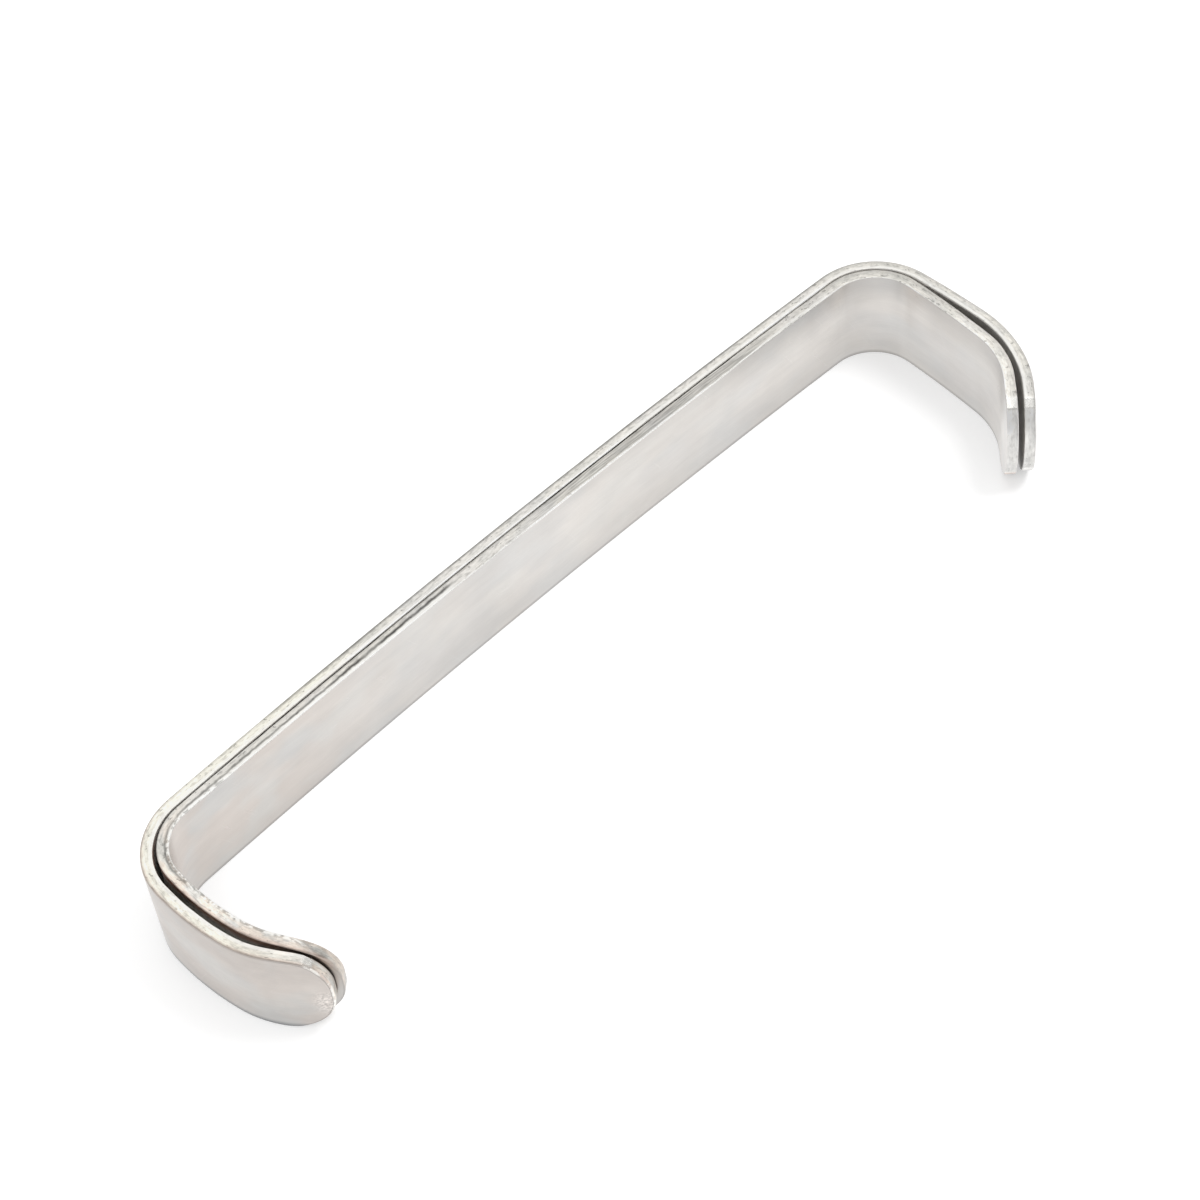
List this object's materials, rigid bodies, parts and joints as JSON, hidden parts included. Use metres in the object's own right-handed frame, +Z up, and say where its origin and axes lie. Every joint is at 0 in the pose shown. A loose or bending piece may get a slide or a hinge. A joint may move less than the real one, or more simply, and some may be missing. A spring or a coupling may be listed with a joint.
{
  "type": "hand-held surgical retractor pair",
  "caption": "Nested pair of double-ended hand-held retractors, each bent from one flat steel strip into a long handle with curled round-tipped blades.",
  "frame": {"origin": "on the lower edge of the outer retractor, in the middle of its handle", "axes": "+X along the handles, -Y the way the blades point, +Z up across the width of the strip"},
  "size_m": [0.1503, 0.0435, 0.016],
  "materials": {
    "outer_steel": "satin polished faces with fine scratches, brighter ground edges",
    "inner_steel": "satin polished faces with fine scratches, brighter ground edges"
  },
  "bodies": {
    "root": {"outer_retractor": "outer_steel", "inner_retractor": "inner_steel"}
  },
  "joints": []
}
